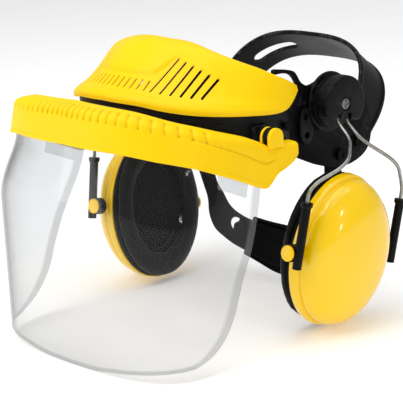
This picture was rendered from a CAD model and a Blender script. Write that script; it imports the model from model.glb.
# Forestry face and hearing guard: brow shell, straps, clear visor and two ear cups.
# The face looks along -Y, +X is the wearer's left and +Z is up. Lengths are millimetres
# in the part's own axes until solid() turns them into metres; the floor, lights and camera
# are in metres. Paired pieces are built on the left and mirrored across X = 0.
from math import copysign, cos, degrees, exp, hypot, pi, radians, sin, sqrt

import bpy
import bmesh
import numpy as np
from mathutils import Matrix, Vector


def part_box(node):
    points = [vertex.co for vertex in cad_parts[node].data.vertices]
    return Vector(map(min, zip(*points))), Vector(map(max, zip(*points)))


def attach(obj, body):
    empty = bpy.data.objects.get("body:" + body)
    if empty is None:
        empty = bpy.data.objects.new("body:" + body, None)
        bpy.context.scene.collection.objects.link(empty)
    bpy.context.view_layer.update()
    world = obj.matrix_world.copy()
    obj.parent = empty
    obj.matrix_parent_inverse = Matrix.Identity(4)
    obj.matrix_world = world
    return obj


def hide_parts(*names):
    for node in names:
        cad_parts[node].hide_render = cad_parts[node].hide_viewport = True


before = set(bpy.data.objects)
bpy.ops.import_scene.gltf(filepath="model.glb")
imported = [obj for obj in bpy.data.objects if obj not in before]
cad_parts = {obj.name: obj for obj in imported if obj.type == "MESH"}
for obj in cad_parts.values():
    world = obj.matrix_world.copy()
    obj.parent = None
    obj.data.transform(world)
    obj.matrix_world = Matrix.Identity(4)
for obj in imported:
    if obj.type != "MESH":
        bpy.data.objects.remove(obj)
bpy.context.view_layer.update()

# ---- driving places, as (y, z) where paired
PIVOT = PIVOT_Y, PIVOT_Z = -17.4, 144.2         # visor pivots
HUB_Y, HUB_Z, HUB_LEAN = 53.8, 153.2, 11.4      # ear hubs, lean in degrees about X
BAND_RIVET = (8.2, 145.5)
NAPE_RIVET = (66.0, 113.0)
STRAP_RIVET = (85.0, 119.5)
RIVET_HOLE = 2.3

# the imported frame's offset, found from the visor pivot
boss_low, boss_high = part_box("visor_boss_left")
SHIFT = np.array([0.0, (boss_low[1] + boss_high[1]) * 500 - PIVOT_Y,
                  (boss_low[2] + boss_high[2]) * 500 - PIVOT_Z])


# ---- curves and numbers
def spline(table, x):
    """smooth curve through a {station: value} table, held level past its ends"""
    keys = sorted(table)
    if x <= keys[0]:
        return table[keys[0]]
    if x >= keys[-1]:
        return table[keys[-1]]
    i = 0
    while x > keys[i + 1]:
        i += 1

    def slope(j):
        low, high = max(j - 1, 0), min(j + 1, len(keys) - 1)
        return (table[keys[high]] - table[keys[low]]) / (keys[high] - keys[low])

    span = keys[i + 1] - keys[i]
    t = (x - keys[i]) / span
    t2 = t * t
    t3 = t2 * t
    return ((2 * t3 - 3 * t2 + 1) * table[keys[i]] + (t3 - 2 * t2 + t) * span * slope(i)
            + (-2 * t3 + 3 * t2) * table[keys[i + 1]] + (t3 - t2) * span * slope(i + 1))


def linear(table, x):
    """straight runs between the stations of a table in rising order"""
    return float(np.interp(x, list(table), list(table.values())))


def ease(start, end, x):
    """0 before start, 1 after end, smooth between"""
    t = min(1.0, max(0.0, (x - start) / (end - start)))
    return t * t * (3 - 2 * t)


def steps(count):
    return [i / count for i in range(count + 1)]


def sweep(u, end):
    """u 0..1 to an angle from -end to end"""
    return (u * 2 - 1) * end


def unit(a):
    a = np.asarray(a, float)
    return a / np.maximum(np.linalg.norm(a, axis=-1, keepdims=True), 1e-12)


def superellipse(a, b, power, angle):
    """radius at an angle measured from the half axis a"""
    return 1 / ((abs(cos(angle)) / a) ** power + (abs(sin(angle)) / b) ** power) ** (1 / power)


def smooth_points(stations, count, closed=True):
    """about count points on a centripetal spline through the stations"""
    P = np.array(stations, float)
    last = len(P) - 1
    spans = len(P) if closed else last
    marks = [count * i // spans for i in range(spans + 1)]
    out = []
    for s in range(spans):
        if closed:
            p0, p1, p2, p3 = (P[i % len(P)] for i in range(s - 1, s + 3))
        else:
            p1, p2 = P[s], P[s + 1]
            p0 = 2 * p1 - p2 if s == 0 else P[s - 1]
            p3 = 2 * p2 - p1 if s == last - 1 else P[s + 2]
        t0 = 0
        t1 = t0 + np.linalg.norm(p1 - p0) ** 0.5 + 1e-9
        t2 = t1 + np.linalg.norm(p2 - p1) ** 0.5 + 1e-9
        t3 = t2 + np.linalg.norm(p3 - p2) ** 0.5 + 1e-9
        inside = marks[s + 1] - marks[s]
        for q in range(inside):
            t = t1 + (t2 - t1) * q / inside
            a1 = (t1 - t) / (t1 - t0) * p0 + (t - t0) / (t1 - t0) * p1
            a2 = (t2 - t) / (t2 - t1) * p1 + (t - t1) / (t2 - t1) * p2
            a3 = (t3 - t) / (t3 - t2) * p2 + (t - t2) / (t3 - t2) * p3
            b1 = (t2 - t) / (t2 - t0) * a1 + (t - t0) / (t2 - t0) * a2
            b2 = (t3 - t) / (t3 - t1) * a2 + (t - t1) / (t3 - t1) * a3
            out.append((t2 - t) / (t2 - t1) * b1 + (t - t1) / (t2 - t1) * b2)
    if not closed:
        out.append(P[-1])
    return np.array(out)


def round_corners(points, radius, limit=0.48, count=4):
    """round the corners of an open line; limit is the share of a side one corner may take"""
    points = [np.array(p, float) for p in points]
    out = [points[0]]
    for i in range(1, len(points) - 1):
        before, corner, after = points[i - 1:i + 2]
        back, ahead = before - corner, after - corner
        wanted = radius[i] if isinstance(radius, (list, tuple)) else radius
        cut_back = min(wanted, np.linalg.norm(back) * limit, np.linalg.norm(ahead) * limit)
        if cut_back < 1e-6:
            out.append(corner)
            continue
        start, end = corner + unit(back) * cut_back, corner + unit(ahead) * cut_back
        for t in steps(count):
            out.append((1 - t) ** 2 * start + 2 * t * (1 - t) * corner + t * t * end)
    out.append(points[-1])
    return out


# ---- objects and modifiers
def mesh_points(mesh):
    flat = np.zeros(len(mesh.vertices) * 3)
    mesh.vertices.foreach_get("co", flat)
    return flat.reshape(-1, 3)


def set_points(mesh, points):
    mesh.vertices.foreach_set("co", points.astype(np.float32).ravel())
    mesh.update()


def link(name, mesh):
    ob = bpy.data.objects.new(name, mesh)
    bpy.context.scene.collection.objects.link(ob)
    return ob


def solid(points, faces):
    metres = (np.asarray(points, float) + SHIFT) * 0.001
    mesh = bpy.data.meshes.new("piece")
    mesh.from_pydata(metres.tolist(), [], [tuple(int(i) for i in f) for f in faces])
    bm = bmesh.new()
    bm.from_mesh(mesh)
    bmesh.ops.remove_doubles(bm, verts=bm.verts, dist=1e-6)
    bmesh.ops.recalc_face_normals(bm, faces=bm.faces)
    bm.to_mesh(mesh)
    bm.free()
    return link("piece", mesh)


def bake(ob):
    """apply every modifier"""
    bpy.context.view_layer.update()
    depsgraph = bpy.context.evaluated_depsgraph_get()
    mesh = bpy.data.meshes.new_from_object(ob.evaluated_get(depsgraph))
    old = ob.data
    ob.modifiers.clear()
    ob.data = mesh
    bpy.data.meshes.remove(old)
    return ob


def drop(ob):
    mesh = ob.data
    bpy.data.objects.remove(ob)
    bpy.data.meshes.remove(mesh)


def boolean(ob, tools, operation):
    for tool in tools:
        mod = ob.modifiers.new("boolean", "BOOLEAN")
        mod.operation = operation
        mod.solver = "EXACT"
        mod.object = tool
    bake(ob)
    for tool in tools:
        drop(tool)


def cut(ob, *tools):
    boolean(ob, tools, "DIFFERENCE")


def weld(ob, *tools):
    boolean(ob, tools, "UNION")


def bevel(ob, width, segments=3, angle=40):
    mod = ob.modifiers.new("bevel", "BEVEL")
    mod.width = width * 0.001
    mod.segments = segments
    mod.limit_method = "ANGLE"
    mod.angle_limit = radians(angle)
    mod.harden_normals = False
    mod.miter_outer = "MITER_ARC"
    return bake(ob)


def subdivide(ob, levels):
    ob.modifiers.new("subdivide", "SUBSURF").levels = levels
    return bake(ob)


def mirror_image(ob):
    """a copy mirrored across X = 0"""
    mesh = ob.data.copy()
    set_points(mesh, mesh_points(mesh) * (-1, 1, 1))
    mesh.flip_normals()
    mesh.update()
    return link("piece", mesh)


def on_side(ob, side):
    """the left piece itself for side 1, or its mirror image in its place for side -1"""
    if side > 0:
        return ob
    image = mirror_image(ob)
    drop(ob)
    return image


def finish(ob, part, body, material, sharp=38):
    """name the look of a frame part, shade it and register it; sharp is in degrees"""
    mesh = ob.data
    ob.name = mesh.name = part + "_look"
    mesh.shade_smooth()
    mesh.set_sharp_from_angle(angle=radians(sharp))
    mesh.materials.clear()
    mesh.materials.append(material)
    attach(ob, body)
    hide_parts(part)


SIDED_BODIES = ("hub", "bail", "slider", "cup")


def pair(ob, part, body, material, sharp=38):
    """finish a left piece and its mirror image"""
    for piece, side in ((ob, "_left"), (mirror_image(ob), "_right")):
        own_body = body + side if body in SIDED_BODIES else body
        finish(piece, part + side, own_body, material, sharp)


# ---- shapes
def as_is(points):
    return np.asarray(points, float)


def level(u, v):
    return 0.0


def skin(rings):
    """quads between each closed ring of point numbers and the next"""
    faces = []
    for a, b in zip(rings, rings[1:]):
        for q in range(len(a)):
            w = (q + 1) % len(a)
            faces.append((a[q], a[w], b[w], b[q]))
    return faces


def even_rings(count, size):
    return [range(i * size, (i + 1) * size) for i in range(count)]


def wall(surface, us, vs, thickness, rim=0.8, outer=level, inner=level):
    """thin wall with rounded edges; its outer face follows surface(u, v)

    thickness is a number or a function of u, v; outer and inner move those faces outward;
    rim is how far the edge bulges, as a share of half the thickness
    """
    def grid(f):
        return np.array([[f(u, v) for v in vs] for u in us], float)

    P = grid(surface)
    nu, nv = P.shape[:2]
    normal = unit(np.cross(np.gradient(P, axis=0), np.gradient(P, axis=1)))
    depth = grid(thickness) if callable(thickness) else np.full((nu, nv), float(thickness))
    outside = P + normal * grid(outer)[..., None]
    inside = P - normal * depth[..., None]
    inside = inside + normal * grid(inner)[..., None]
    loop = ([(i, 0) for i in range(nu)] + [(nu - 1, j) for j in range(1, nv)]
            + [(i, nv - 1) for i in range(nu - 2, -1, -1)] + [(0, j) for j in range(nv - 2, 0, -1)])
    li, lj = np.array(loop).T
    A, B = outside[li, lj], inside[li, lj]
    tangent = unit(np.roll(A, -1, 0) - np.roll(A, 1, 0))
    edge = unit(np.cross(tangent, normal[li, lj]))
    within = P[np.clip(li, 1, nu - 2), np.clip(lj, 1, nv - 2)]
    sign = np.sign((edge * (P[li, lj] - within)).sum(1))
    edge = edge * np.where(sign == 0, 1, sign)[:, None]
    middle, half = (A + B) / 2, (A - B) / 2
    reach = np.linalg.norm(half, axis=1, keepdims=True)

    points = [outside.reshape(-1, 3), inside.reshape(-1, 3)]
    layer = nu * nv
    rings = [li * nv + lj]
    rim_rings = 3
    for a in range(1, rim_rings + 1):
        turn_angle = pi * a / (rim_rings + 1)
        points.append(middle + half * cos(turn_angle) + edge * reach * rim * sin(turn_angle))
        rings.append(2 * layer + (a - 1) * len(loop) + np.arange(len(loop)))
    rings.append(layer + rings[0])
    faces = []
    for i in range(nu - 1):
        for j in range(nv - 1):
            c = i * nv + j
            faces.append((c, c + nv, c + nv + 1, c + 1))
            c += layer
            faces.append((c, c + 1, c + nv + 1, c + nv))
    return solid(np.concatenate(points), faces + skin(rings))


def lathe(profile, segments, closed=False):
    """[(radius, height)] turned round local Z; radius 0 is a pole. Returns points, faces"""
    points, faces, rows = [], [], []
    for r, h in profile:
        if r < 1e-9:
            rows.append([len(points)])
            points.append((0, 0, h))
        else:
            rows.append(list(range(len(points), len(points) + segments)))
            for i in range(segments):
                angle = 2 * pi * i / segments
                points.append((r * cos(angle), r * sin(angle), h))
    for a, b in zip(rows, rows[1:] + (rows[:1] if closed else [])):
        for i in range(segments):
            j = (i + 1) % segments
            corners = [a[i % len(a)], a[j % len(a)], b[j % len(b)], b[i % len(b)]]
            face = tuple(dict.fromkeys(corners))
            if len(face) >= 3:
                faces.append(face)
    return np.array(points, float), faces


def along_x(V, y=0, z=0):
    """local Z of a lathe becomes X"""
    return np.stack([V[:, 2], V[:, 0] + y, V[:, 1] + z], 1)


def along_y(V, x=0, z=0):
    """local Z of a lathe becomes Y"""
    return np.stack([V[:, 1] + x, V[:, 2], V[:, 0] + z], 1)


def turn(profile, segments, place=as_is, closed=False):
    points, faces = lathe(profile, segments, closed)
    return solid(place(points), faces)


def turn_x(profile, segments, y=0, z=0, place=as_is, closed=False):
    return turn(profile, segments, lambda V: place(along_x(V, y, z)), closed)


def disc_profile(r, low, high, rounding):
    return round_corners([(0, low), (r, low), (r, high), (0, high)], rounding)


def disc_x(r, x0, x1, y, z, rounding=0.4, segments=40, place=as_is):
    return turn_x(disc_profile(r, x0, x1, rounding), segments, y, z, place)


def disc_y(r, y0, y1, x, z, rounding, segments, place):
    return turn(disc_profile(r, y0, y1, rounding), segments, lambda V: place(along_y(V, x, z)))


def headed_pin(profile, y, z, rounding=0.5):
    return turn_x(round_corners(profile, rounding), 32, y, z)


def prism_x(outline, x0, x1, place=as_is):
    """outline [(y, z)] pushed out along X"""
    n = len(outline)
    points = [(x, y, z) for x in (x0, x1) for y, z in outline]
    faces = [tuple(range(n)), tuple(range(2 * n - 1, n - 1, -1))]
    faces += [(i, (i + 1) % n, n + (i + 1) % n, n + i) for i in range(n)]
    return solid(place(np.array(points, float)), faces)


def box(x0, x1, y0, y1, z0, z1, place=as_is):
    return prism_x([(y0, z0), (y1, z0), (y1, z1), (y0, z1)], x0, x1, place)


def rod(path, radius, segments, place):
    """round rod along a line of points, with low pointed ends"""
    P = place(np.array(path, float))
    n = len(P)
    tangent = unit(np.gradient(P, axis=0))
    side = unit(np.cross(tangent[0], [0.3, 0.5, 0.81]))
    points = []
    for p, t in zip(P, tangent):
        side = unit(side - t * (side @ t))
        other = np.cross(t, side)
        for q in range(segments):
            angle = 2 * pi * q / segments
            points.append(p + radius * (cos(angle) * side + sin(angle) * other))
    faces = skin(even_rings(n, segments))
    c = len(points)
    points += [P[0] - tangent[0] * radius * 0.3, P[-1] + tangent[-1] * radius * 0.3]
    for q in range(segments):
        w = (q + 1) % segments
        faces.append((c, w, q))
        faces.append((c + 1, (n - 1) * segments + q, (n - 1) * segments + w))
    return solid(points, faces)


# ---- materials; texture scales are per metre, bump distances in metres
BLACK, WHITE = (0, 0, 0, 1), (1, 1, 1, 1)


class Shader:
    """a material's node tree, with short calls for the nodes used here"""

    def __init__(self, name):
        self.material = bpy.data.materials.new(name)
        self.material.use_nodes = True
        self.tree = self.material.node_tree
        self.tree.nodes.clear()
        self.output = self.tree.nodes.new("ShaderNodeOutputMaterial")
        self.place = self.node("ShaderNodeTexCoord").outputs["Object"]

    def feed(self, socket, value):
        if isinstance(value, bpy.types.NodeSocket):
            self.tree.links.new(value, socket)
        else:
            socket.default_value = value

    def node(self, kind, **settings):
        """_key sets a property; any other key feeds an input, with _ for a space"""
        node = self.tree.nodes.new(kind)
        for key, value in settings.items():
            if key[0] == "_":
                setattr(node, key[1:], value)
            else:
                self.feed(node.inputs[key.replace("_", " ")], value)
        return node

    def noise(self, scale, detail=3.0, rough=0.55, vector=None, distortion=0.0):
        return self.node("ShaderNodeTexNoise", Scale=scale, Detail=detail, Roughness=rough,
                         Distortion=distortion, Vector=vector or self.place).outputs["Fac"]

    def voronoi(self, scale, feature="F1"):
        return self.node("ShaderNodeTexVoronoi", _feature=feature, Scale=scale,
                         Vector=self.place).outputs["Distance"]

    def ramp(self, fac, start, end, first=BLACK, last=WHITE):
        node = self.node("ShaderNodeValToRGB", Fac=fac)
        low, high = node.color_ramp.elements
        low.position, low.color = start, first
        high.position, high.color = end, last
        return node.outputs["Color"]

    def math(self, operation, a, b, clamp=False):
        node = self.node("ShaderNodeMath", _operation=operation, _use_clamp=clamp)
        self.feed(node.inputs[0], a)
        self.feed(node.inputs[1], b)
        return node.outputs[0]

    def mix(self, fac, a, b):
        node = self.node("ShaderNodeMix", _data_type="RGBA")
        for i, value in ((0, fac), (6, a), (7, b)):
            self.feed(node.inputs[i], value)
        return node.outputs[2]

    def mix_shader(self, fac, a, b):
        node = self.node("ShaderNodeMixShader")
        for i, value in enumerate((fac, a.outputs[0], b.outputs[0])):
            self.feed(node.inputs[i], value)
        return node

    def bump(self, height, strength, distance, normal=None):
        node = self.node("ShaderNodeBump", Strength=strength, Distance=distance, Height=height)
        if normal is not None:
            self.feed(node.inputs["Normal"], normal)
        return node.outputs["Normal"]

    def stretched(self, scale):
        return self.node("ShaderNodeMapping", Scale=scale, Vector=self.place).outputs["Vector"]

    def edge(self):
        return self.node("ShaderNodeNewGeometry").outputs["Pointiness"]

    def principled(self, **inputs):
        return self.surface(self.node("ShaderNodeBsdfPrincipled", **inputs))

    def surface(self, shader):
        self.feed(self.output.inputs[0], shader.outputs[0])
        return self.material


def srgb(color):
    """0..255 screen colour to linear RGBA"""
    shares = [c / 255 for c in color]
    return tuple(c / 12.92 if c <= 0.04045 else ((c + 0.055) / 1.055) ** 2.4
                 for c in shares) + (1.0,)


def shade(rgba, factor):
    return tuple(min(1.0, c * factor) for c in rgba[:3]) + (1.0,)


def plastic(name, color, rough, grain, grain_scale, drift, specular, wear=None, coat=0.0,
            cavity=0.0, ripple_scale=120.0):
    """moulded plastic: fine grain, slow colour drift, scuffs, optional wear on the corners"""
    s = Shader(name)
    base = srgb(color)
    tone = s.ramp(s.noise(14.0), start=0.3, end=0.7,
                  first=shade(base, 1 - drift), last=shade(base, 1 + drift))
    if wear:
        corners = s.ramp(s.edge(), start=0.515, end=0.56)
        patches = s.ramp(s.noise(260.0, detail=4.0), start=0.48, end=0.62)
        worn = s.math("MULTIPLY", s.math("MULTIPLY", corners, patches), 0.45)
        tone = s.mix(worn, tone, srgb(wear))
    if cavity:
        # shade and dust gathered in grooves and inner corners
        hollows = s.ramp(s.edge(), start=0.455, end=0.494, first=WHITE, last=BLACK)
        dust = (base[0] * 0.5, base[1] * 0.42, base[2] * 0.4, 1.0)
        tone = s.mix(s.math("MULTIPLY", hollows, cavity), tone, dust)
    scuff = s.math("SUBTRACT", s.noise(70.0, detail=6.0, rough=0.65), 0.5)
    roughness = s.math("ADD", s.math("MULTIPLY", scuff, 0.22), rough, clamp=True)
    pits = s.math("MULTIPLY", s.voronoi(grain_scale * 0.8), 0.6)
    height = s.math("ADD", s.noise(grain_scale, detail=2.0, rough=0.6), pits)
    normal = s.bump(s.noise(ripple_scale, detail=2.0), strength=0.06, distance=0.0006)
    normal = s.bump(height, strength=grain, distance=0.00012, normal=normal)
    gloss = {"Coat_Weight": coat, "Coat_Roughness": 0.04} if coat else {}
    return s.principled(Base_Color=tone, Roughness=roughness, Normal=normal,
                        Specular_IOR_Level=specular, **gloss)


def metal(name, color, rough, streak_scale):
    """brushed metal with darker spots"""
    s = Shader(name)
    rgba = srgb(color)
    streak = s.noise(1.0, detail=4.0, rough=0.6, vector=s.stretched(streak_scale))
    spots = s.ramp(s.noise(350.0, detail=4.0), start=0.45, end=0.7)
    return s.principled(
        Base_Color=s.mix(spots, rgba, shade(rgba, 0.7)), Metallic=1.0,
        Roughness=s.math("ADD", s.math("MULTIPLY", streak, 0.22), rough - 0.08, clamp=True),
        Normal=s.bump(streak, strength=0.12, distance=0.0001))


def leather(name, color):
    """imitation leather: fine pebble grain with soft creases"""
    s = Shader(name)
    rgba = srgb(color)
    fine = s.voronoi(900.0, "DISTANCE_TO_EDGE")
    coarse = s.voronoi(420.0, "DISTANCE_TO_EDGE")
    crease = s.noise(55.0, detail=5.0, rough=0.6, distortion=1.5)
    height = s.math("ADD", s.ramp(fine, start=0.0, end=0.12), s.math("MULTIPLY", coarse, 1.2))
    normal = s.bump(crease, strength=0.25, distance=0.0010)
    return s.principled(
        Base_Color=s.mix(s.ramp(crease, start=0.35, end=0.65), shade(rgba, 0.75), shade(rgba, 1.5)),
        Roughness=s.math("ADD", s.math("MULTIPLY", coarse, 0.25), 0.36, clamp=True),
        Normal=s.bump(height, strength=0.22, distance=0.00018, normal=normal),
        Sheen_Weight=0.04, Specular_IOR_Level=0.12)


def foam(name, color):
    """open cells of two sizes"""
    s = Shader(name)
    rgba = srgb(color)
    cells = s.voronoi(650.0)
    height = s.math("ADD", cells, s.math("MULTIPLY", s.voronoi(260.0), 0.8))
    return s.principled(
        Base_Color=s.ramp(cells, start=0.1, end=0.5, first=shade(rgba, 0.4), last=rgba),
        Roughness=0.95, Normal=s.bump(height, strength=0.9, distance=0.0006),
        Specular_IOR_Level=0.15)


def weave(name, color):
    """knitted cover: two crossed sets of yarns"""
    s = Shader(name)
    rgba = srgb(color)
    yarns = [s.node("ShaderNodeTexWave", _bands_direction=direction, Scale=520.0, Distortion=0.6,
                    Vector=s.place).outputs["Fac"] for direction in ("Z", "DIAGONAL")]
    height = s.math("MULTIPLY", *yarns)
    normal = s.bump(height, strength=0.7, distance=0.0004)
    return s.principled(
        Base_Color=s.ramp(height, start=0.0, end=0.6, first=shade(rgba, 0.4), last=rgba),
        Normal=s.bump(s.noise(90.0, detail=4.0), strength=0.3, distance=0.001, normal=normal),
        Roughness=0.88, Sheen_Weight=0.5)


def clear(name, tint, haze, haze_color, rough, edge_dark, rim=0.0):
    """tinted clear sheet: deeper at grazing angles, faint haze and hairline scratches;
    rim darkens and frosts the border marked by the "rim" attribute"""
    s = Shader(name)
    facing = s.node("ShaderNodeLayerWeight", Blend=0.5).outputs["Facing"]
    depth = s.math("MULTIPLY", s.math("POWER", facing, 4.0), edge_dark, clamp=True)
    color = s.mix(depth, tint, shade(tint, 0.42))
    scratches = s.noise(1.0, detail=6.0, rough=0.7, vector=s.stretched((9.0, 9.0, 260.0)))
    smear = s.noise(26.0, detail=4.0, rough=0.6)
    scratch_haze = s.math("MULTIPLY", s.ramp(scratches, start=0.55, end=0.8), haze * 0.6)
    cloud = s.math("ADD", scratch_haze, haze)
    if rim:
        border = s.node("ShaderNodeAttribute", _attribute_name="rim").outputs["Fac"]
        color = s.mix(s.math("MULTIPLY", border, rim), color, (0.62, 0.63, 0.64, 1.0))
        cloud = s.math("ADD", cloud, s.math("MULTIPLY", border, 0.05))
    through = s.node("ShaderNodeBsdfTransparent", Color=color)
    mirror = s.node("ShaderNodeBsdfGlossy",
                    Roughness=s.math("ADD", s.math("MULTIPLY", scratches, 0.05), rough),
                    Normal=s.bump(smear, strength=0.05, distance=0.0008))
    grazing = s.math("MULTIPLY", s.math("POWER", facing, 4.0), 0.7)
    glass = s.mix_shader(s.math("ADD", grazing, 0.009, clamp=True), through, mirror)
    milk = s.node("ShaderNodeBsdfDiffuse", Color=haze_color)
    return s.surface(s.mix_shader(cloud, glass, milk))


SHELL_YELLOW = plastic("shell_yellow", (255, 208, 0), rough=0.44, grain=0.10, grain_scale=1400.0,
                       drift=0.03, specular=0.16, wear=(255, 224, 70), cavity=0.7)
FRAME_YELLOW = plastic("frame_yellow", (255, 208, 0), rough=0.48, grain=0.16, grain_scale=1100.0,
                       drift=0.03, specular=0.16, wear=(255, 224, 70), cavity=0.8)
CUP_AMBER = plastic("cup_amber", (255, 208, 0), rough=0.22, grain=0.03, grain_scale=1800.0,
                    drift=0.025, specular=0.3, coat=0.5, ripple_scale=60.0)
PIN_YELLOW = plastic("pin_yellow", (255, 204, 2), rough=0.32, grain=0.04, grain_scale=1800.0,
                     drift=0.03, specular=0.25, coat=0.2)
HARNESS_BLACK = plastic("harness_black", (6, 6, 8), rough=0.55, grain=0.20, grain_scale=1300.0,
                        drift=0.25, specular=0.07, wear=(44, 46, 52))
BAND_BLACK = plastic("band_black", (7, 8, 12), rough=0.42, grain=0.12, grain_scale=1500.0,
                     drift=0.25, specular=0.14, wear=(66, 72, 84))
STRAP_BLACK = plastic("strap_black", (6, 7, 10), rough=0.40, grain=0.15, grain_scale=1100.0,
                      drift=0.25, specular=0.13, wear=(70, 76, 86))
NAPE_BLACK = plastic("nape_black", (5, 5, 7), rough=0.6, grain=0.2, grain_scale=900.0,
                     drift=0.2, specular=0.05, wear=(36, 36, 40))
HUB_BLACK = plastic("hub_black", (7, 7, 9), rough=0.46, grain=0.22, grain_scale=1200.0,
                    drift=0.2, specular=0.13, wear=(60, 61, 64))
SLEEVE_BLACK = plastic("sleeve_black", (6, 6, 7), rough=0.44, grain=0.12, grain_scale=1500.0,
                       drift=0.2, specular=0.12, wear=(44, 44, 48))
CUP_BACK_BLACK = plastic("cup_back_black", (5, 5, 6), rough=0.55, grain=0.2, grain_scale=1200.0,
                         drift=0.2, specular=0.07, wear=(38, 38, 42))
LEATHER = leather("cushion_leather", (6, 6, 8))
FOAM = foam("cup_foam", (12, 12, 14))
SWEATBAND_COVER = weave("sweatband_cover", (22, 22, 26))
WIRE_STEEL = metal("wire_steel", (158, 157, 154), rough=0.34, streak_scale=(60, 60, 900))
SCREW_STEEL = metal("screw_steel", (120, 120, 122), rough=0.3, streak_scale=(700, 700, 60))
VISOR_CLEAR = clear("visor_clear", tint=(0.925, 0.93, 0.935, 1.0), haze=0.004,
                    haze_color=(0.85, 0.87, 0.88, 1.0), rough=0.03, edge_dark=1.1, rim=0.42)
CLIP_CLEAR = clear("clip_clear", tint=(0.90, 0.91, 0.92, 1.0), haze=0.12,
                   haze_color=(0.95, 0.96, 0.97, 1.0), rough=0.12, edge_dark=0.8)

# ---- brow shell; angles are degrees from the front, positive to the left
BROW_RADIUS, BROW_Y, BROW_END = 79.8, -5.0, 110.0
# {angle: z of the lower edge}, {angle: z of the top}, {angle: how far the top lies inward}
BROW_RIM = {0: 171.4, 20: 169.8, 34: 166.2, 47: 163.2, 60: 161.0, 75: 158.8, 91: 156.6,
            100: 157.6, 105: 161.2, 110: 166.5}
BROW_TOP = {0: 205.6, 20: 204.6, 44: 201.6, 60: 196.8, 82: 186.6, 95: 178.6, 105: 172.8, 110: 170}
BROW_INSET = {0: 37, 20: 36.5, 42: 35, 60: 25.5, 82: 11.5, 95: 5.5, 105: 2.5, 110: 1.5}
# {v: share of the height}, {v: share of the inset}
RISE_UP = {0: 0, 0.12: 0.08, 0.25: 0.19, 0.36: 0.3, 0.5: 0.51, 0.65: 0.74, 0.8: 0.925,
           0.9: 0.99, 1: 1.01}
RISE_IN = {0: 0.012, 0.12: 0.005, 0.25: 0.09, 0.36: 0.25, 0.5: 0.46, 0.65: 0.66, 0.8: 0.86,
           0.9: 1.0, 1: 1.17}
# left half outline of the shallow panel that holds the slots: (angle, v)
PANEL = [(0, 0.50), (12, 0.495), (22, 0.505), (27, 0.59), (33, 0.70), (41, 0.745), (50, 0.735),
         (58, 0.68), (64, 0.60), (64, 0.49), (60, 0.37), (53, 0.275), (44, 0.235), (31.5, 0.225),
         (16, 0.25), (0, 0.255)]
PANEL_SCALE = (1.30, 46)    # mm per degree, mm per unit of v
panel = np.array(PANEL + [(-a, v) for a, v in PANEL[-2:0:-1]]) * PANEL_SCALE


def brow_at(deg, v):
    s, angle = abs(deg), radians(deg)
    z0, z1 = spline(BROW_RIM, s), spline(BROW_TOP, s)
    radius = BROW_RADIUS - spline(BROW_INSET, s) * spline(RISE_IN, v)
    z = z0 + (z1 - z0) * spline(RISE_UP, v)
    return radius * sin(angle), BROW_Y - radius * cos(angle) + 0.2 * (z - z0), z


def panel_distance(deg, v):
    """signed distance from the panel outline, negative inside"""
    p = np.array([deg, v]) * PANEL_SCALE
    a, b = panel, np.roll(panel, -1, 0)
    ab = b - a
    t = np.clip(((p - a) * ab).sum(1) / (ab * ab).sum(1), 0, 1)
    distance = np.sqrt((((a + ab * t[:, None]) - p) ** 2).sum(1)).min()
    spans = (a[:, 1] > p[1]) != (b[:, 1] > p[1])
    crossing = (b[:, 0] - a[:, 0]) * (p[1] - a[:, 1]) / (b[:, 1] - a[:, 1] + 1e-12) + a[:, 0]
    return -distance if (spans & (p[0] < crossing)).sum() % 2 else distance


def brow_relief(u, v):
    """sunken panel, and a rim band a little proud along the lower edge"""
    deg = sweep(u, BROW_END)
    s = abs(deg)
    sunk = 0.0
    if s <= 70:
        sunk = -(0.95 - 0.7 * ease(27, 40, s)) * (1 - ease(-0.9, 0.9, panel_distance(deg, v)))
    return sunk + 0.3 * (1 - ease(0.15, 0.225, v)) * (1 - ease(96, 104, s))


def slot_tool(foot, head, deg, width):
    """rounded slot cutter from foot to head, with a flared mouth"""
    foot, head = np.array(foot, float), np.array(head, float)
    up = unit(head - foot)
    normal = np.array([sin(radians(deg)), -cos(radians(deg)), 0.25])
    normal = unit(normal - up * (normal @ up))
    side = np.cross(up, normal)
    middle = (foot + head) / 2
    straight = np.linalg.norm(head - foot) / 2 - width / 2
    levels = [(5.35, 0.225), (0.15, 0.225), (-0.85, 0.0), (-9.15, 0.0)]    # (height, flare)
    ring = 20
    points = []
    for height, flare_out in levels:
        r = width / 2 + flare_out
        for q in range(ring):
            angle = 2 * pi * q / ring
            end = straight * (1 if sin(angle) >= 0 else -1)
            points.append(middle + normal * height + side * r * cos(angle)
                          + up * (end + r * sin(angle)))
    count = len(levels) * ring
    faces = skin(even_rings(len(levels), ring))
    faces += [tuple(range(ring)), tuple(range(count - 1, count - ring - 1, -1))]
    return solid(points, faces)


def brow_slots():
    """six leaning slots on each side and eleven short ones across the front"""
    slots = []
    for i in range(6):
        foot = 24.5 + i * 5.3
        low, high = brow_at(foot, 0.31), brow_at(foot + 11.5 - 0.3 * i, 0.69 - 0.025 * i)
        for side in (1, -1):
            slots.append(slot_tool((low[0] * side, *low[1:]), (high[0] * side, *high[1:]),
                                   (foot + 5.5) * side, 1.35 + 0.1 * i))
    for i in range(-5, 6):
        deg = i * 4.3
        slots.append(slot_tool(brow_at(deg * 0.96, 0.315), brow_at(deg * 1.02, 0.435), deg, 1.35))
    return slots


def join(obs):
    """several closed bodies that don't touch, as one object"""
    points, faces, count = [], [], 0
    for ob in obs:
        points.append(mesh_points(ob.data))
        faces += [tuple(i + count for i in p.vertices) for p in ob.data.polygons]
        count += len(ob.data.vertices)
        drop(ob)
    return solid(np.concatenate(points) * 1000 - SHIFT, faces)


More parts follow.
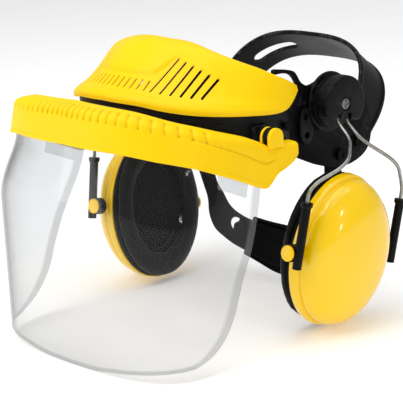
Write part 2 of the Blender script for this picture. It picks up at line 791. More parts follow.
brow = wall(lambda u, v: brow_at(sweep(u, BROW_END), v), steps(330), steps(64), 2.4, rim=0.5,
            outer=brow_relief)
cut(brow, join(brow_slots()))
finish(brow, "brow_shell", "headgear", SHELL_YELLOW, 42)

# ---- brow band and sweatband
BAND_END, SWEAT_END = 104, 84
BAND_LOW = {0: 160, 30: 158, 46: 153.6, 60: 147.6, 75: 141, 86: 137.4, 95: 135, 104: 132.5}
SWEAT_THICKNESS = 4.6


def band_at(deg, v, inset=0.0, raise_low=0.0, raise_top=2.6):
    s, angle = abs(deg), radians(deg)
    z0 = spline(BAND_LOW, s) + raise_low
    z1 = spline(BROW_RIM, s) + raise_top - max(0.0, s - 99)
    return ((76.3 - inset) * sin(angle), BROW_Y - (75.7 - inset) * cos(angle),
            z0 + (z1 - z0) * v)


def band_relief(u, v):
    """raised lower edge and one groove above it"""
    return 0.5 * (1 - ease(0.07, 0.14, v)) - 0.35 * exp(-((v - 0.42) / 0.03) ** 2)


def sweat_thickness(u, v):
    """thickest half way up, with 24 shallow waves along its length"""
    return SWEAT_THICKNESS * (0.45 + 0.55 * sin(pi * v)) * (0.96 + 0.04 * cos(u * 2 * pi * 24))


band = wall(lambda u, v: band_at(sweep(u, BAND_END), v), steps(200), steps(30), 2.4,
            outer=band_relief)
stubs = []
for side in (1, -1):
    stub = disc_x(5.2, 74.9, 79.8, *PIVOT, 0.5)
    block = bevel(box(74.7, 78.4, PIVOT_Y - 6, PIVOT_Y + 6, PIVOT_Z - 4.5, PIVOT_Z + 7), 0.7)
    stubs += [on_side(stub, side), on_side(block, side)]
weld(band, *stubs)
finish(band, "brow_band", "headgear", BAND_BLACK)

sweatband = wall(lambda u, v: band_at(sweep(u, SWEAT_END), v, 2.8, 1.5, 2), steps(120), steps(16),
                 sweat_thickness, rim=0.6)
finish(sweatband, "sweatband", "headgear", SWEATBAND_COVER, 80)

# ---- side plates, their rivets and the adapters in front of the hubs
# closed outline (y, z): the broad plate, then the thin arm that runs up and forward
PLATE_OUTLINE = [
    (13, 148), (19, 124), (34, 114.5), (57, 106), (78, 104.5), (95, 111.5), (100, 126), (95, 144),
    (84, 158), (66, 166), (48, 168), (37, 166.6), (29.6, 170), (23, 178.6), (12, 181.8),
    (4, 182.6), (4, 180.2), (12, 179.4), (20.6, 176.4), (26.2, 167.6), (26, 162), (16, 157)]
PLATE_X = (68.6, 71.6)

plate = prism_x(smooth_points(PLATE_OUTLINE, 160), *PLATE_X)
weld(plate, disc_x(7, *PLATE_X, BAND_RIVET[0] + 1.5, BAND_RIVET[1], 0.01))
cut(plate, *[disc_x(r, 60, 80, *centre, 0.01, 24) for r, centre in
             ((RIVET_HOLE, NAPE_RIVET), (RIVET_HOLE, STRAP_RIVET), (2.0, BAND_RIVET))])
bevel(plate, 0.6, angle=50)
pair(plate, "side_plate", "headgear", HARNESS_BLACK)

# rivet profiles: (radius, x)
BAND_RIVET_PROFILE = [(0, 68.9), (1.7, 68.9), (1.7, 77.1), (3.4, 77.1), (3.4, 78.6), (0, 78.6)]
DISHED_RIVET_PROFILE = [(0, 64.6), (1.9, 64.6), (1.9, 72.1), (4.4, 72.1), (4.4, 73.8),
                        (2.2, 73.8), (2.0, 73.2), (0, 73.2)]
for part, centre, profile, rounding in (
        ("band_rivet", BAND_RIVET, BAND_RIVET_PROFILE, 0.5),
        ("strap_rivet", STRAP_RIVET, DISHED_RIVET_PROFILE, 0.45),
        ("nape_rivet", NAPE_RIVET, DISHED_RIVET_PROFILE, 0.45)):
    pair(headed_pin(profile, *centre, rounding), part, "headgear", HARNESS_BLACK)

adapter_outline = []
for i in range(72):
    angle = i / 72 * 2 * pi
    adapter_outline.append((30.4 + 6.4 * cos(angle),
                            140.6 + 12.6 * copysign(abs(sin(angle)) ** 0.75, sin(angle))))
adapter = prism_x(adapter_outline, 72.0, 74.6)
cut(adapter, disc_x(21.1, 60, 90, HUB_Y, HUB_Z, 0.01, 96))
cut(adapter, *[disc_x(2.3, 60, 90, y, z, 0.01, 28) for y, z in ((29.6, 147.2), (30.2, 134.2))])
bevel(adapter, 0.5, angle=50)
pair(adapter, "adapter_plate", "headgear", HUB_BLACK)

# ---- rear strap: a tilted arch from side to side, t 0..1 from left to right
ARCH_WIDTH, ARCH_HEIGHT, ARCH_POWER = 67.0, 60.6, 2.85
ARCH_Y, ARCH_Z, ARCH_TILT = 92.3, 126.7, radians(50.7)
ARCH_BEND = 0.86            # share of each half that curves; the rest is a straight leg
LEG_LENGTH = 15
STRAP_LENGTH = 205
STRAP_HALF = {0: 9.5, 0.07: 12, 0.16: 14.8, 0.3: 15.4, 0.5: 15.4}    # {t: half width}
# the long slot: its run in t, its place across the strap and its half width
SLOT_START, SLOT_END, SLOT_OFFSET, SLOT_HALF = 0.605, 0.765, -0.5, 4.5


def arch_at(t, across, inset=0.0):
    k = (t - 0.5) * 2
    s = abs(k)
    if s > ARCH_BEND:
        x, h = ARCH_WIDTH - inset, -(s - ARCH_BEND) / 0.14 * LEG_LENGTH
    else:
        angle = (1 - s / ARCH_BEND) * pi / 2
        r = superellipse(ARCH_WIDTH - inset, ARCH_HEIGHT - inset, ARCH_POWER, angle)
        x, h = r * cos(angle), r * sin(angle)
    return (x if k < 0 else -x, ARCH_Y + cos(ARCH_TILT) * h - sin(ARCH_TILT) * across,
            ARCH_Z + sin(ARCH_TILT) * h + cos(ARCH_TILT) * across)


def strap_half(u):
    return spline(STRAP_HALF, min(u, 1 - u))


def strap_relief(u, v):
    """raised edges, and a raised frame round the long slot"""
    half = strap_half(u)
    across = (v - 0.5) * 2 * half
    along_slot = max(0.0, abs(u - (SLOT_START + SLOT_END) / 2) * STRAP_LENGTH - 16.0)
    across_slot = max(0.0, abs(across - SLOT_OFFSET) - SLOT_HALF)
    return max(0.9 * (1 - ease(1.6, 2.6, half - abs(across))),
               0.9 * (1 - ease(1.4, 2.4, hypot(along_slot, across_slot))))


def strap_slot():
    """a round-ended bar that follows the arch through the strap wall"""
    count, points = 22, []
    length = SLOT_END - SLOT_START
    for x in steps(count):
        end = min(x, 1 - x) * STRAP_LENGTH * length
        half = SLOT_HALF * sqrt(max(0.02, 1 - max(0.0, 1 - end / SLOT_HALF) ** 2))
        for across, inset in ((-half, -6), (half, -6), (half, 7), (-half, 7)):
            points.append(arch_at(SLOT_START + length * x, across + SLOT_OFFSET, inset))
    last = count * 4
    faces = skin(even_rings(count + 1, 4)) + [(3, 2, 1, 0), (last, last + 1, last + 2, last + 3)]
    return solid(points, faces)


strap = wall(lambda u, v: arch_at(u, (v - 0.5) * 2 * strap_half(u)), steps(260), steps(36), 2.4,
             rim=0.9, outer=strap_relief)
cut(strap, strap_slot())
cut(strap, *[on_side(disc_x(RIVET_HOLE, 55, 75, *STRAP_RIVET, 0.01, 24), side)
             for side in (1, -1)])
finish(strap, "rear_strap", "crown_strap", STRAP_BLACK, 45)

# ---- nape strap: two overlapping halves below the rear strap
# its upper and lower edge from the left rivet to past the middle: (x, y, z)
NAPE_UPPER = [(65.7, 74, 118), (65.7, 74, 104), (65, 73.8, 87.6), (62, 73.3, 78.8),
              (58.5, 73.7, 71.4), (53.6, 74.8, 65.7), (47.4, 77, 56.8), (36, 79.6, 50.5),
              (20.5, 81.4, 47.8), (0, 82, 47.3), (-20.5, 81.4, 47.8)]
NAPE_LOWER = [(65.7, 58, 118), (65.7, 58, 104), (65, 58.6, 89), (64.9, 63.8, 72.8),
              (63.4, 67.2, 59.4), (61.9, 68.5, 46), (59, 70.4, 34), (49, 75, 23.3),
              (27, 78.8, 14.4), (0, 80, 7.6), (-27, 78.8, 14.4)]
nape_upper = smooth_points(NAPE_UPPER, 800, closed=False)
nape_lower = smooth_points(NAPE_LOWER, 800, closed=False)
TONGUE_INSET = 2.9          # the tongue lies this far inside the other half


def edge_at(line, t):
    x = max(0.0, t) * (len(line) - 1)
    i = int(x)
    return line[i] + (line[i + 1] - line[i]) * (x - i)


def nape_at(s, k, out=0.0):
    """s 0..1 from the rivet to the middle and on past it, k 0..1 from upper to lower edge"""
    if s > 1:
        return nape_at(2 - s, k, out) * np.array([-1.0, 1.0, 1.0])
    t = 0.9 * s
    a, b = edge_at(nape_upper, t), edge_at(nape_lower, t)
    e = 0.004
    tangent = unit(unit(edge_at(nape_upper, t + e) - edge_at(nape_upper, t - e))
                   + unit(edge_at(nape_lower, t + e) - edge_at(nape_lower, t - e)))
    return a + (b - a) * k - unit(np.cross(tangent, unit(b - a))) * out


def nape_border(v):
    return 1 - ease(0.03, 0.06, min(v, 1 - v))


def tongue_at(u, v):
    s = u * 1.1
    width = linear({0: 0.92, 0.57: 0.92, 0.72: 0.76, 1.1: 0.66}, s)
    k = 0.5 - (v - 0.5) * width - 0.04 * ease(0.5, 0.8, s)
    return nape_at(s, k, -TONGUE_INSET * ease(0.42, 0.62, s))


def stud(s, k, r, low, high, rounding):
    """short cylinder square to the tongue, heights measured inward"""
    centre = nape_at(s, k, -TONGUE_INSET)
    normal = unit(nape_at(s, k, -TONGUE_INSET - 1) - centre)
    a = unit(np.cross(normal, [0.0, 0.0, 1.0]))
    b = np.cross(normal, a)
    return turn(disc_profile(r, low, high, rounding), 40,
                lambda V: centre + V[:, :1] * a + V[:, 1:2] * b + V[:, 2:3] * normal)


nape_left = wall(lambda u, v: nape_at(u * 1.155, 0.96 - 0.92 * v), steps(150), steps(30), 2.4,
                 rim=0.5, outer=lambda u, v: 0.7 * nape_border(v) * ease(0.1, 0.14, u),
                 inner=lambda u, v: -0.45 * nape_border(v) * ease(0.12, 0.18, u))
tip = wall(lambda u, v: nape_at(1.1 + 0.13 * u, 0.47 - 0.26 * v), steps(16), steps(8), 2.4,
           rim=0.5)
weld(nape_left, tip)
# the right half and the button are shaped on the left, then mirrored
tongue = wall(tongue_at, steps(150), steps(30), 2.4, rim=0.5)
for half in (nape_left, tongue):
    cut(half, disc_x(RIVET_HOLE, 55, 75, *NAPE_RIVET, 0.01, 24))
cut(tongue, stud(0.77, 0.35, 5.6, -8, 6, 0.01))
tongue = on_side(tongue, -1)
finish(nape_left, "nape_strap_left", "nape", NAPE_BLACK, 45)
finish(tongue, "nape_strap_right", "nape", NAPE_BLACK, 45)
button = stud(0.792, 0.36, 2.2, -0.25, 3.3, 0.1)
weld(button, stud(0.796, 0.365, 4.6, 2.9, 4.1, 0.55))
finish(on_side(button, -1), "nape_button", "nape", NAPE_BLACK)

# ---- visor frame: a superellipse in plan that runs straight back past 90 degrees
FRAME_HALF_WIDTH, FRAME_DEPTH, FRAME_Y, FRAME_POWER, FRAME_END = 92.0, 102.0, -20.0, 3.0, 104.0
# {angle: z of the lower edge}, {angle: z of the top}
FRAME_LOW = {0: 149.6, 27: 148.3, 38: 145.4, 51: 139.0, 64: 129, 75: 119.8, 81: 115.2, 85: 113.4,
             88: 116, 91.5: 120.6, 97: 123, 102: 126.5, 104: 130}
FRAME_TOP = {0: 175, 30: 172, 49.5: 162.5, 63: 155, 76.5: 148, 84: 143.2, 90: 139.2, 97: 138.4,
             104: 138}
# a smooth roll from the upright face to the inner edge: {v: inset}, {v: share of the height}
FRAME_IN = {0: 0, 0.3: 0.0, 0.45: 0.25, 0.54: 0.6, 0.62: 1.25, 0.68: 2.1, 0.74: 3.4, 0.79: 5.1,
            0.84: 7.5, 0.92: 11.2, 1: 15}
FRAME_UP = {0: 0, 0.3: 0.42, 0.45: 0.62, 0.54: 0.74, 0.62: 0.84, 0.68: 0.9, 0.74: 0.945,
            0.79: 0.975, 0.84: 0.995, 0.92: 1.012, 1: 1.02}
ROLL_DEPTH = {0: 1, 60: 0.85, 78: 0.62, 104: 0.62}      # {angle: share of the inset}
# crease that sweeps back and down from the brow to the pivots: {angle: v}
CREASE = {0: 0.60, 20: 0.60, 40: 0.57, 55: 0.5, 66: 0.45, 76: 0.4, 84: 0.36, 90: 0.34}
EAR_X = ((89.2, 92), (82.6, 84.6))      # outer and inner ear at each pivot


def flare(s):
    """how far the skirt leans out at the corners"""
    return 3.2 * ease(24, 44, s) * (1 - ease(62, 78, s))


def frame_at(u, v):
    deg = sweep(u, FRAME_END)
    s = abs(deg)
    z0, z1 = spline(FRAME_LOW, s), spline(FRAME_TOP, s)
    z = z0 + (z1 - z0) * spline(FRAME_UP, v)
    inset = spline(FRAME_IN, v) * linear(ROLL_DEPTH, s) - flare(s) * max(0.0, 1 - v / 0.5)
    angle = radians(s)
    side = 1 if deg >= 0 else -1
    a, b = FRAME_HALF_WIDTH - inset, FRAME_DEPTH - inset
    if s > 90:
        return side * a, FRAME_Y + (angle - pi / 2) * FRAME_HALF_WIDTH, z
    r = superellipse(b, a, FRAME_POWER, angle)
    return side * r * sin(angle), FRAME_Y - r * cos(angle), z


def frame_relief(u, v):
    s = abs(sweep(u, FRAME_END))
    d = 0.0
    # fine upright flutes on the upper front
    if s < 72:
        fade = (1 - ease(56, 70, s)) * ease(0.47, 0.56, v) * (1 - ease(0.86, 0.93, v))
        d -= 1.0 * fade * (0.5 - 0.5 * cos(2 * pi * (s / 2.6) / (1 + s / 130))) ** 3
    # the upper face is set back behind the lower skirt by a soft step
    crease = spline(CREASE, s)
    grow = ease(34, 62, s) * (1 - ease(88, 94, s))
    d -= 1.1 * grow * ease(crease, crease + 0.04, v) * (1 - ease(crease + 0.3, crease + 0.52, v))
    # rolled bottom edge
    return d + 0.35 * (1 - ease(0.03, 0.075, v)) * (1 - ease(92, 98, s))


visor_frame = wall(frame_at, steps(420), steps(60), lambda u, v: 1.8 + ease(0.0, 0.7, v),
                   rim=0.5, outer=frame_relief)
ears, rooms = [], []
for side in (1, -1):
    for x0, x1 in EAR_X:
        ear = disc_x(6.4, x0, x1, *PIVOT, 0.5, 48)
        root = bevel(box(x0, x1, PIVOT_Y - 6.4, PIVOT_Y + 6.4, PIVOT_Z - 6.6, PIVOT_Z - 1), 0.4)
        ears += [on_side(ear, side), on_side(root, side)]
    # room for the boss between the ears, and the pin bore
    for room in (disc_x(7.0, 84.6, 89.2, *PIVOT, 0.02, 48), disc_x(2.0, 80, 91.0, *PIVOT, 0.02, 24)):
        rooms.append(on_side(room, side))
weld(visor_frame, *ears)
cut(visor_frame, *rooms)
finish(visor_frame, "visor_frame", "visor", FRAME_YELLOW, 42)

# the boss ring starts and ends half way across its inner face
BOSS_BORE, BOSS_R, BOSS_X0, BOSS_X1 = 1.95, 6.3, 84.95, 88.85
boss_start = ((BOSS_BORE + BOSS_R) / 2, BOSS_X0)
boss_profile = [boss_start, (BOSS_R, BOSS_X0), (BOSS_R, BOSS_X1), (BOSS_BORE, BOSS_X1),
                (BOSS_BORE, BOSS_X0), boss_start]
pair(turn_x(round_corners(boss_profile, 0.5)[:-1], 44, *PIVOT, closed=True),
     "visor_boss", "headgear", HUB_BLACK)
pair(headed_pin([(0, 75), (1.6, 75), (1.6, 90.7), (0, 90.7)], *PIVOT, 0.3),
     "visor_pin", "headgear", HARNESS_BLACK)

# ---- clear visor
# {z: y of the upright edges}, {angle: z of the lower lip}
SHEET_END = {4: -112, 6: -106, 9: -98, 14: -86, 22: -75.5, 34: -66.5, 52: -59, 65: -53, 80: -45,
             98: -36.6, 114: -31, 126: -28.5, 160: -27}
SHEET_LIP = {0: 1.0, 20: 1.9, 35: 4.4, 47: 7.2, 66: 9.6}


def plan_at(y0, a, b, power, angle):
    """superellipse in plan about (0, y0), the angle measured from the front"""
    r = superellipse(b, a, power, angle)
    return r * sin(angle), y0 - r * cos(angle)


def sheet_at(u, v):
    """u 0..1 from the right edge to the left, v 0..1 from inside the frame down to the lip"""
    k = u * 2 - 1
    low = spline(FRAME_LOW, abs(k) * 84)
    z_top, z_lip = low + 8, spline(SHEET_LIP, abs(k) * 62)
    z = z_lip + (z_top - z_lip) * (1 - v) ** 1.3
    spread = ease(0, 46, low + 2 - z)
    a, power, y0 = 88.8 + 5.2 * spread, 3.0 + 1.1 * spread, -20 - 20 * spread
    b = y0 - (-118.8 - 8.3 * spread)
    # halve the interval until the side of the plan reaches the upright edge
    y_end = spline(SHEET_END, z)
    near, far = 0.0, 1.8
    for _ in range(26):
        middle = (near + far) / 2
        if plan_at(y0, a, b, power, middle)[1] < y_end:
            near = middle
        else:
            far = middle
    x, y = plan_at(y0, a, b, power, k * near)
    tuck = max(0.0, 1 - max(0.0, z - low) / 14)
    lean = flare(degrees(abs(k * near))) * (1 - spread) * tuck
    out = 1 + (lean - 0.25) / hypot(x, y - y0)
    return x * out, y0 + (y - y0) * out, z


def mark_rim(mesh):
    """border mask for the material: along the two upright edges and the lip"""
    points = mesh_points(mesh) * 1000 - SHIFT
    upright = np.array([1 - ease(6.2, 7.2, spline(SHEET_END, p[2]) - p[1]) for p in points])
    nearest = np.full(len(points), 1e9)
    for u in steps(300):
        nearest = np.minimum(nearest, ((points - np.array(sheet_at(u, 1.0))) ** 2).sum(1))
    lip = np.clip((2.6 - np.sqrt(nearest)) / 0.8, 0, 1)
    values = np.maximum(upright, 1.3 * lip).astype(np.float32)
    mesh.attributes.new("rim", "FLOAT", "POINT").data.foreach_set("value", values)


def clip_at(u, v):
    """a small patch just inside the sheet, near its upper left corner"""
    p = np.array(sheet_at(0.872 + 0.09 * (1 - u), 0.05 + 0.055 * v))
    return p - unit(p - np.array([0.0, -40.0, p[2]])) * 2.3


# rows packed towards the top and the lip
sheet_rows = [0.35 * (0.5 - 0.5 * cos(pi * j / 70)) + 0.65 * j / 70 for j in range(71)]
sheet = wall(lambda u, v: sheet_at(1 - u, v), steps(190), sheet_rows, 1.2, rim=0.9,
             outer=lambda u, v: 0.25 * (1 - ease(0.02, 0.035, min(u, 1 - u, 1 - v))))
mark_rim(sheet.data)
finish(sheet, "visor_sheet", "visor", VISOR_CLEAR, 60)
pair(wall(clip_at, steps(24), steps(10), 2.0), "visor_clip", "visor", CLIP_CLEAR)

# ---- ear hubs, in hub axes: x as before, y and z from the hub centre, leaning with it
hub_cos, hub_sin = cos(radians(HUB_LEAN)), sin(radians(HUB_LEAN))


def on_hub(V):
    V = np.asarray(V, float)
    y, z = V[:, 1], V[:, 2]
    return np.stack([V[:, 0], HUB_Y + y * hub_cos + z * hub_sin,
                     HUB_Z - y * hub_sin + z * hub_cos], 1)


# profiles: (radius, x)
HUB_BASE = [(2.6, 72.0), (19.8, 72.0), (20.6, 73.0), (20.6, 75.0), (2.6, 75.0)]
HUB_NECK = [(2.6, 75.3), (17.8, 75.3), (17.8, 76.6), (16.5, 77.1), (16.5, 78.0), (17.8, 78.5),
            (17.8, 80.1), (2.6, 80.1)]
SCREW = [(0, 72.1), (2.1, 72.1), (2.1, 87.7), (3.9, 87.7), (3.9, 89.0), (3.2, 89.3), (0, 89.3)]
CAP_RADIUS = 19.2

pair(turn_x(round_corners(HUB_BASE, 0.5), 72, place=on_hub, closed=True),
     "hub_base", "headgear", HUB_BLACK)
pair(turn_x(round_corners(HUB_NECK, 0.35), 72, place=on_hub, closed=True),
     "hub_neck", "hub", HUB_BLACK)

# cap: an arc of 228 degrees closed by a flat lower side
cap_angles = [radians(-24 + i * (228 / 72)) for i in range(73)]
cap_outline = [(CAP_RADIUS * cos(t), CAP_RADIUS * sin(t)) for t in cap_angles]
cap_outline += [(-16.2, -10.0), (-14.5, -10.6), (14.5, -10.6), (16.2, -10.0)]
cap = prism_x(cap_outline, 80.4, 89.6, on_hub)
bevel(cap, 1.5, 4, 50)
# wide pocket open below, two notches in its outer wall, then the screw's cone and bores
cut(cap, box(83.2, 88.1, -8.6, 8.6, -15, -2.9, on_hub))
cut(cap, *[box(87, 91, y0, y0 + 3.8, -15, -6.0, on_hub) for y0 in (3.0, -6.8)])
cut(cap, turn_x([(0, 88.5), (4.2, 88.5), (6.0, 90.2), (0, 90.2)], 40, place=on_hub))
cut(cap, disc_x(2.5, 78, 95, 0, 0, 0.02, 28, on_hub), disc_x(4.3, 87.4, 92, 0, 0, 0.02, 36, on_hub))
pair(cap, "hub_cap", "hub", HUB_BLACK, 32)

screw = turn_x(round_corners(SCREW, 0.3), 36, place=on_hub)
cut(screw, *[box(88.7, 91, -y, y, -z, z, on_hub) for y, z in ((2.6, 0.45), (0.45, 2.6))])
pair(screw, "hub_screw", "hub", SCREW_STEEL)

# ---- wire arms, in hub axes: from the hub out and down to the two sleeves
SLEEVE_X, SLEEVE_Y, SLEEVE_Z = 106.0, 48.2, -63.4       # top of the sleeve
sleeve_lean = radians(4.3)
lean_cos, lean_sin = cos(sleeve_lean), sin(sleeve_lean)


def leg_point(down):
    """a point on the rear leg's axis, so far below the sleeve top"""
    return [SLEEVE_X - lean_sin * down, SLEEVE_Y, SLEEVE_Z - lean_cos * down]


# rear half of the wire from its middle at the hub: (x, y, z)
wire_rear = [[86.0, 0, -5.6], [86.0, 4.6, -6.0], [87.0, 4.9, -12.0], [100.6, 5.4, -22.4],
             [118.4, 25.4, -36.0], [108.6, 43.2, -49.6], leg_point(-7.5), leg_point(36)]
wire = [[x, -y, z] for x, y, z in wire_rear[:0:-1]] + wire_rear
pair(rod(round_corners(wire, 14.0, limit=0.45, count=10), 1.25, 14, on_hub),
     "wire_bail", "bail", WIRE_STEEL, 60)

# ---- sleeves and yoke pins
CUP_X, CUP_Z = 97.2, -98.3              # cup pivot in hub axes
CUP_LEAN = radians(7.5)
SLEEVE_PROFILE = [(1.6, 0), (4.0, 0), (4.0, 2.6), (3.1, 3.6), (3.1, 45.0), (1.6, 45.0)]
SLEEVE_ROUNDING = [0, 0, 0.5, 0.5, 0.4, 0.5]
PIN_SHOULDER = SLEEVE_Y + 3.45
PIN_PROFILE = [(0, 39.4), (2.1, 39.4), (2.1, PIN_SHOULDER), (5.4, PIN_SHOULDER),
               (5.4, PIN_SHOULDER + 1.8), (0, PIN_SHOULDER + 1.8)]
PIN_ROUNDING = [0, 0.3, 0.1, 0.5, 0.8, 0]


def sleeve(side):
    """sleeve with its arm and yoke eye; side -1 is the front one, 1 the rear"""
    def on_leg(V):
        x, z = V[:, 0], -V[:, 2]
        return on_hub(np.stack([x * lean_cos + z * lean_sin + SLEEVE_X, V[:, 1] + side * SLEEVE_Y,
                                -x * lean_sin + z * lean_cos + SLEEVE_Z], 1))

    ob = turn(round_corners(SLEEVE_PROFILE, SLEEVE_ROUNDING), 36, on_leg, closed=True)
    y0, y1 = (45.0, 51.1) if side > 0 else (-51.1, -45.0)
    arm = box(CUP_X, CUP_X + 6, y0 + 0.3, y1 - 0.3, CUP_Z - 3.4, CUP_Z + 3.6, on_hub)
    weld(ob, bevel(arm, 0.8))
    weld(ob, disc_y(6.0, y0, y1, CUP_X, CUP_Z, 0.6, 40, on_hub))
    cut(ob, disc_y(2.7, -70, 70, CUP_X, CUP_Z, 0.02, 24, on_hub))
    cut(ob, turn([(0, -20), (1.6, -20), (1.6, 60), (0, 60)], 20, on_leg))
    return ob


def yoke_pin(side):
    return turn(round_corners(PIN_PROFILE, PIN_ROUNDING), 40,
                lambda V: on_hub(along_y(V * (1, 1, side), CUP_X, CUP_Z)))


for end, side in (("front", -1), ("rear", 1)):
    pair(sleeve(side), "sleeve_" + end, "slider", SLEEVE_BLACK)
for end, side in (("front", -1), ("rear", 1)):
    pair(yoke_pin(side), "yoke_pin_" + end, "cup", PIN_YELLOW)

# ---- ear cups, in cup axes: x outward from the pivot, leaning about Y
CUP_HALF_WIDTH, CUP_UP, CUP_DOWN = 41.3, 52.5, 54.5


def on_cup(V):
    x, z = V[:, 0], V[:, 2]
    c, s = cos(CUP_LEAN), sin(CUP_LEAN)
    return on_hub(np.stack([x * c + z * s + CUP_X, V[:, 1], -x * s + z * c + CUP_Z], 1))


def oval(profile, segments, closed=True, bulge=0.0):
    """profile [(share of the outline, x)] round the egg-shaped outline;
    bulge swells the upper front"""
    V, faces = lathe(profile, segments, closed)
    share = np.hypot(V[:, 0], V[:, 1])
    cz, cy = V[:, 0] / np.maximum(share, 1e-9), V[:, 1] / np.maximum(share, 1e-9)
    narrow = np.where(cz > 0, 1, 1 - 0.045 * cz * cz)
    skew = (1 + np.where(cy > 0, np.where(cz < 0, -0.11, -0.07) * cy * cz, 0.0)
            + bulge * 2 * np.clip(-cy, 0, 1) * np.clip(cz, 0, 1))
    y = CUP_HALF_WIDTH * share * cy * narrow * skew
    z = share * np.where(cz > 0, CUP_UP, CUP_DOWN) * cz * skew
    return solid(on_cup(np.stack([V[:, 2], y, z], 1)), faces)


# profiles: (share of the outline, x)
DOME = [(0, 24.4), (0.15, 24.25), (0.3, 23.6), (0.45, 22.5), (0.6, 20.7), (0.74, 17.6),
        (0.84, 13.9), (0.91, 9.6), (0.945, 6.2), (0.958, 3.4)]
DOME_SCALE = 45.0       # mm per share while the dome is smoothed
SHELL_RIM = [(0.958, 1.7), (0.951, 1.35), (0.946, 1.05), (0.9455, 0.75), (0.9475, 0.5),
             (0.955, 0.3), (0.968, 0.05), (0.98, -0.35), (0.9895, -0.95), (0.9965, -1.8),
             (1.0, -2.9), (1.0, -6.4), (0.9985, -6.95), (0.994, -7.2)]
SHELL_INSIDE = [(0.935, -7.2), (0.93, -6.9), (0.93, -2.6), (0.9, 1.4), (0.87, 7.0),
                (0.76, 13.0), (0.6, 17.0), (0.34, 20.2), (0, 21.4)]
CUP_BACK = [(0.62, -7.6), (0.975, -7.6), (0.985, -8.0), (0.985, -9.8), (0.975, -10.2),
            (0.62, -10.2)]
CUP_FOAM = [(0, -9.0), (0.56, -9.0), (0.60, -8.6), (0.617, -7.0), (0.617, -6.4), (0.6, 3.2),
            (0.58, 4.6), (0.5, 7.4), (0, 7.4)]
CUSHION = [(0.635, -11.0), (0.95, -11.0), (1.0, -13.0), (0.985, -16.6), (0.9, -19.3),
           (0.76, -19.3), (0.66, -17.0)]

dome_points = smooth_points([(share * DOME_SCALE, x) for share, x in DOME], 44, closed=False)
dome = [(max(0.0, a / DOME_SCALE), x) for a, x in dome_points]
shell = oval(dome + SHELL_RIM + SHELL_INSIDE, 128, closed=False)
cut(shell, disc_y(2.6, -60, 60, 0, 0, 0.02, 24, on_cup))
pair(shell, "cup_shell", "cup", CUP_AMBER, 50)
pair(oval(CUP_BACK, 112), "cup_back", "cup", CUP_BACK_BLACK)
pair(oval(CUP_FOAM, 64, closed=False), "cup_foam", "cup", FOAM)


def swell(ob, frames=20, limit=0.005):
    """swell by a short cloth run under pressure; no point moves further than limit metres"""
    mod = ob.modifiers.new("remesh", "REMESH")
    mod.mode = "VOXEL"
    mod.voxel_size = 0.0028
    bake(ob)
    rest = mesh_points(ob.data)
    cloth = ob.modifiers.new("cloth", "CLOTH")
    for key, value in dict(
            quality=6, mass=0.2, tension_stiffness=22, compression_stiffness=12,
            shear_stiffness=8, bending_stiffness=0.6, use_pressure=True,
            uniform_pressure_force=3.0).items():
        setattr(cloth.settings, key, value)
    cloth.settings.effector_weights.gravity = 0
    cloth.point_cache.frame_start = 1
    cloth.point_cache.frame_end = frames
    scene = bpy.context.scene
    for f in range(1, frames + 1):
        scene.frame_set(f)
    evaluated = ob.evaluated_get(bpy.context.evaluated_depsgraph_get())
    moved = mesh_points(evaluated.to_mesh()) - rest
    evaluated.to_mesh_clear()
    ob.modifiers.clear()
    scene.frame_set(1)
    length = np.linalg.norm(moved, axis=1, keepdims=True)
    moved *= np.minimum(1, limit / np.maximum(length, 1e-9))
    set_points(ob.data, rest + moved)
    smooth = ob.modifiers.new("smooth", "SMOOTH")
    smooth.iterations = 8
    smooth.factor = 0.5
    subdivide(ob, 1)


cushion = oval(CUSHION, 80, bulge=0.05)
swell(cushion)
pair(cushion, "cushion", "cup", LEATHER, 80)

# ---- floor
FLOOR_HALF, FLOOR_Z = 12.0, -0.0006
floor_mesh = bpy.data.meshes.new("floor")
floor_mesh.from_pydata([(x * FLOOR_HALF, y * FLOOR_HALF, FLOOR_Z)
                        for x, y in ((-1, -1), (1, -1), (1, 1), (-1, 1))], [], [(0, 1, 2, 3)])
floor = link("floor", floor_mesh)
pale = Shader("floor_pale")
floor_mesh.materials.append(pale.principled(
    Base_Color=pale.ramp(pale.noise(3.0), start=0.3, end=0.7,
                         first=(0.93, 0.93, 0.93, 1), last=(0.96, 0.96, 0.96, 1)),
    Roughness=0.6, Specular_IOR_Level=0.2, Emission_Color=WHITE, Emission_Strength=0.22))

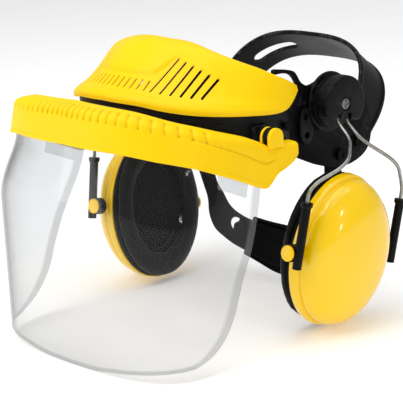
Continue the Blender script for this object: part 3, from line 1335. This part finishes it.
# ---- world: white to the camera, dimmer as a light
world = bpy.data.worlds.new("world")
bpy.context.scene.world = world
world.use_nodes = True
nodes, links = world.node_tree.nodes, world.node_tree.links
background = nodes["Background"]
background.inputs[0].default_value = WHITE
light_path = nodes.new("ShaderNodeLightPath")
strength = nodes.new("ShaderNodeMapRange")
strength.inputs["To Min"].default_value = 0.45
strength.inputs["To Max"].default_value = 1.0
links.new(light_path.outputs["Is Camera Ray"], strength.inputs["Value"])
links.new(strength.outputs["Result"], background.inputs[1])

# ---- camera: in front and to the left, a little above; back points from the target to it
AZIMUTH, ELEVATION, ROLL = radians(46.5), radians(15.5), radians(-3.0)
CAMERA_DISTANCE = 1.182
back = Vector((sin(AZIMUTH) * cos(ELEVATION), -cos(AZIMUTH) * cos(ELEVATION), sin(ELEVATION)))
level_right = Vector((cos(AZIMUTH), sin(AZIMUTH), 0))
level_up = back.cross(level_right)
right = cos(ROLL) * level_right + sin(ROLL) * level_up
up = -sin(ROLL) * level_right + cos(ROLL) * level_up
target = Vector((0, SHIFT[1] * 0.001, (82.7 + SHIFT[2]) * 0.001))

camera_data = bpy.data.cameras.new("camera")
camera_data.lens = 150.967742
camera_data.sensor_width = 36
camera_data.sensor_fit = "HORIZONTAL"
camera_data.clip_start = 0.05
camera_data.clip_end = 60
camera = link("camera", camera_data)
camera.matrix_world = Matrix((right, up, back)).transposed().to_4x4()
camera.location = target + back * CAMERA_DISTANCE
bpy.context.scene.camera = camera


# ---- lights, all aimed at the target
def in_view(across, rise, toward):
    """a place measured from the target along the camera's own axes"""
    return target + right * across + up * rise + back * toward


def area(name, place, size, power):
    light = bpy.data.lights.new(name, "AREA")
    light.shape = "RECTANGLE"
    light.size, light.size_y = size
    light.energy = power
    ob = link(name, light)
    ob.location = place
    ob.rotation_euler = (target - place).to_track_quat("-Z", "Y").to_euler()


area("key", in_view(across=-0.9, rise=1.1, toward=0.9), size=(0.8, 0.8), power=9.5)
area("top", target + Vector((0, 0, 1.5)), size=(1.4, 1.4), power=12)
area("strip", in_view(across=-1.1, rise=0.15, toward=0.15), size=(0.25, 1.0), power=2.5)
area("spark", in_view(across=0.75, rise=0.55, toward=1.3), size=(0.10, 0.22), power=1.8)
area("spark_low", in_view(across=0.9, rise=-0.02, toward=1.2), size=(0.08, 0.16), power=0.9)

view = bpy.context.scene.view_settings
view.view_transform = "Standard"
view.look = "None"
view.exposure = 0.0
view.gamma = 1.0
